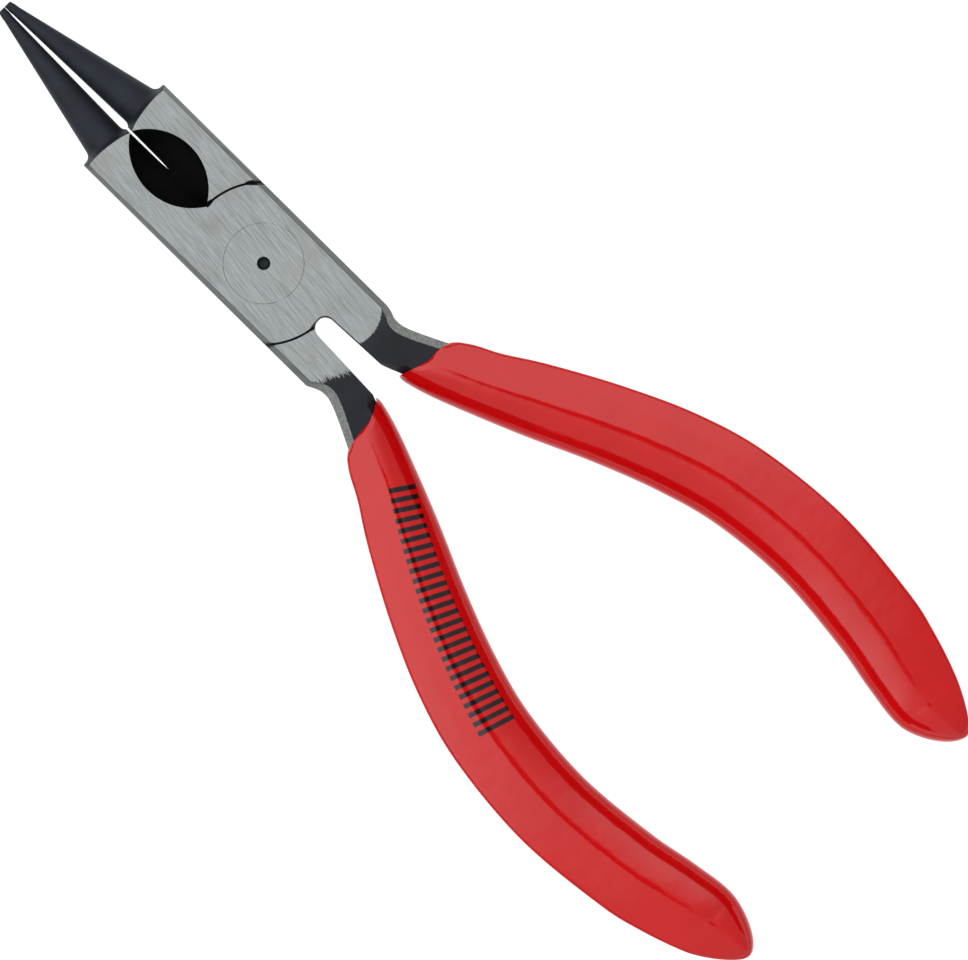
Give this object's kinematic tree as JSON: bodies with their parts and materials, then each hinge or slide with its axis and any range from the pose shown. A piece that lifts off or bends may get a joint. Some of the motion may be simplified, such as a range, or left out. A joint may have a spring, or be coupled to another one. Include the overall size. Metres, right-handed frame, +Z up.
{
  "type": "round nose pliers",
  "caption": "Lap-joint round nose pliers with slim conical jaws, a side cutter recess behind them, a flush pivot rivet and long bowed dipped grips.",
  "frame": {"origin": "pivot axis where it leaves the rivet's flat underside, which is level with the joint's ground underside", "axes": "+X from the pivot to the nose, +Z up along the pivot axis out of the ground upper face, +Y to the side of the upper half's jaw"},
  "size_m": [0.13, 0.0496, 0.008],
  "materials": {
    "steel": "ground grey faces, blackened jaws and necks",
    "rivet": "ground flush",
    "vinyl": "glossy dipped vinyl"
  },
  "bodies": {
    "lower_half": {"half_b": "steel", "grip_b": "vinyl", "pivot_rivet": "rivet"},
    "upper_half": {"half_a": "steel", "grip_a": "vinyl"}
  },
  "joints": [
    {"name": "pivot", "type": "hinge", "parent": "lower_half", "child": "upper_half", "pos_m": [0, 0, 0.004], "axis": [0, 0, 1], "range_deg": [0, 90]}
  ]
}
